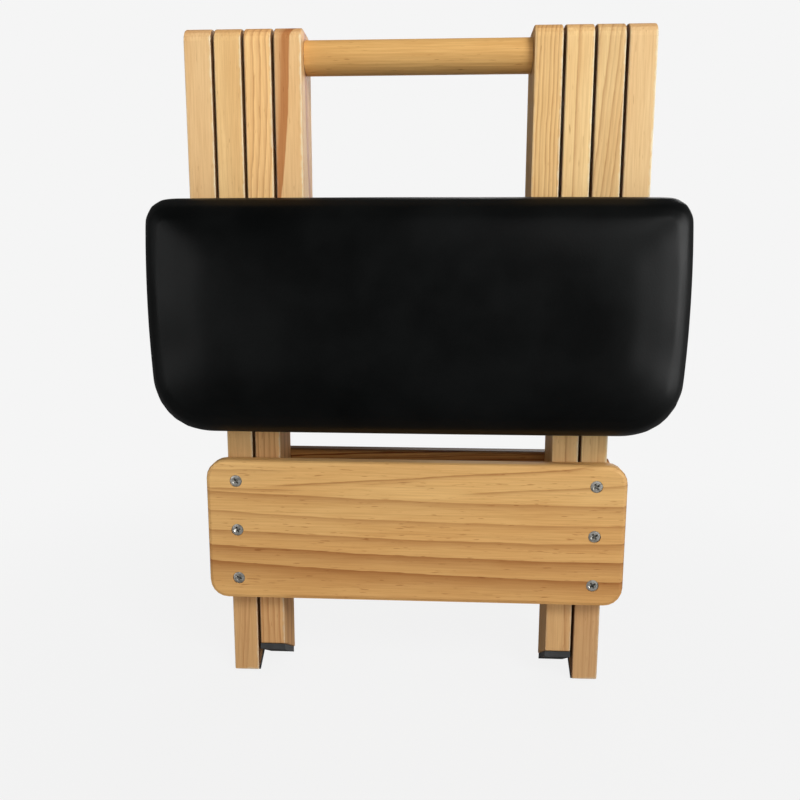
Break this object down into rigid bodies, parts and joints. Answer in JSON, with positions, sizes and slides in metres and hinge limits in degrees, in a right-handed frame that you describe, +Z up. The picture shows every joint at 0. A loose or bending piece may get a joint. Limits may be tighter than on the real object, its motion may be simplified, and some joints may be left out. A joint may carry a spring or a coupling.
{
  "type": "folding yoga stool",
  "caption": "Folding wooden stool for yoga with two padded seat halves on crossed legs, folded flat; a round bar, two lower boards and slanted rubber feet.",
  "frame": {"origin": "on the floor, under the middle of the folded stool", "axes": "+Z up along the folded legs, +X along the dowel and the seat pivots, the front board and front cushion toward -Y"},
  "size_m": [0.3768, 0.145, 0.4851],
  "materials": {
    "rail_pine": "satin",
    "leg_pine": "satin",
    "board_pine": "satin",
    "dowel_wood": "satin",
    "plywood": "matte",
    "cover": "satin",
    "steel": "satin",
    "screw_zinc": "satin",
    "nylon": "matte",
    "foot_rubber": "matte"
  },
  "bodies": {
    "crossing": {"crossing_bolt_left": "steel", "crossing_bolt_right": "steel", "crossing_nut_left": "steel", "crossing_nut_right": "steel", "crossing_washer_left": "nylon", "crossing_washer_right": "nylon"},
    "outer_frame": {"outer_leg_left": "leg_pine", "outer_leg_right": "leg_pine", "outer_foot_pad_left": "foot_rubber", "outer_foot_pad_right": "foot_rubber", "rail_bolt_left": "steel", "rail_bolt_right": "steel", "rail_nut_left": "steel", "rail_nut_right": "steel", "rail_washer_left": "nylon", "rail_washer_right": "nylon", "front_board": "board_pine", "front_board_screw_1": "screw_zinc", "front_board_screw_2": "screw_zinc", "front_board_screw_3": "screw_zinc", "front_board_screw_4": "screw_zinc", "front_board_screw_5": "screw_zinc", "front_board_screw_6": "screw_zinc"},
    "inner_frame": {"inner_leg_left": "leg_pine", "inner_leg_right": "leg_pine", "inner_foot_pad_left": "foot_rubber", "inner_foot_pad_right": "foot_rubber", "dowel_bolt_left": "steel", "dowel_bolt_right": "steel", "dowel_washer_left": "nylon", "dowel_washer_right": "nylon", "rear_board": "board_pine", "rear_board_screw_1": "screw_zinc", "rear_board_screw_2": "screw_zinc", "rear_board_screw_3": "screw_zinc", "rear_board_screw_4": "screw_zinc", "rear_board_screw_5": "screw_zinc", "rear_board_screw_6": "screw_zinc", "top_dowel": "dowel_wood"},
    "front_seat": {"outer_rail_left": "rail_pine", "outer_rail_right": "rail_pine", "front_seat_board": "plywood", "front_cushion": "cover", "front_seat_screw_1": "screw_zinc", "front_seat_screw_2": "screw_zinc", "front_seat_screw_3": "screw_zinc", "front_seat_screw_4": "screw_zinc"},
    "rear_seat": {"inner_rail_left": "rail_pine", "inner_rail_right": "rail_pine", "rear_seat_board": "plywood", "rear_cushion": "cover", "rear_seat_screw_1": "screw_zinc", "rear_seat_screw_2": "screw_zinc", "rear_seat_screw_3": "screw_zinc", "rear_seat_screw_4": "screw_zinc"}
  },
  "joints": [
    {"name": "outer_frame_fold", "type": "hinge", "parent": "crossing", "child": "outer_frame", "pos_m": [0, 0, 0.3758], "axis": [-1, 0, 0], "range_deg": [0, 30]},
    {"name": "inner_frame_fold", "type": "hinge", "parent": "crossing", "child": "inner_frame", "pos_m": [0, 0, 0.3758], "axis": [1, 0, 0], "range_deg": [0, 30]},
    {"name": "front_seat_fold", "type": "hinge", "parent": "outer_frame", "child": "front_seat", "pos_m": [0, 0, 0.4678], "axis": [-1, 0, 0], "range_deg": [0, 60]},
    {"name": "rear_seat_fold", "type": "hinge", "parent": "inner_frame", "child": "rear_seat", "pos_m": [0, 0, 0.4678], "axis": [1, 0, 0], "range_deg": [0, 60]}
  ],
  "couplings": [
    {"joint": "inner_frame_fold", "follows": "outer_frame_fold", "ratio": 1},
    {"joint": "front_seat_fold", "follows": "outer_frame_fold", "ratio": 2},
    {"joint": "rear_seat_fold", "follows": "outer_frame_fold", "ratio": 2}
  ]
}
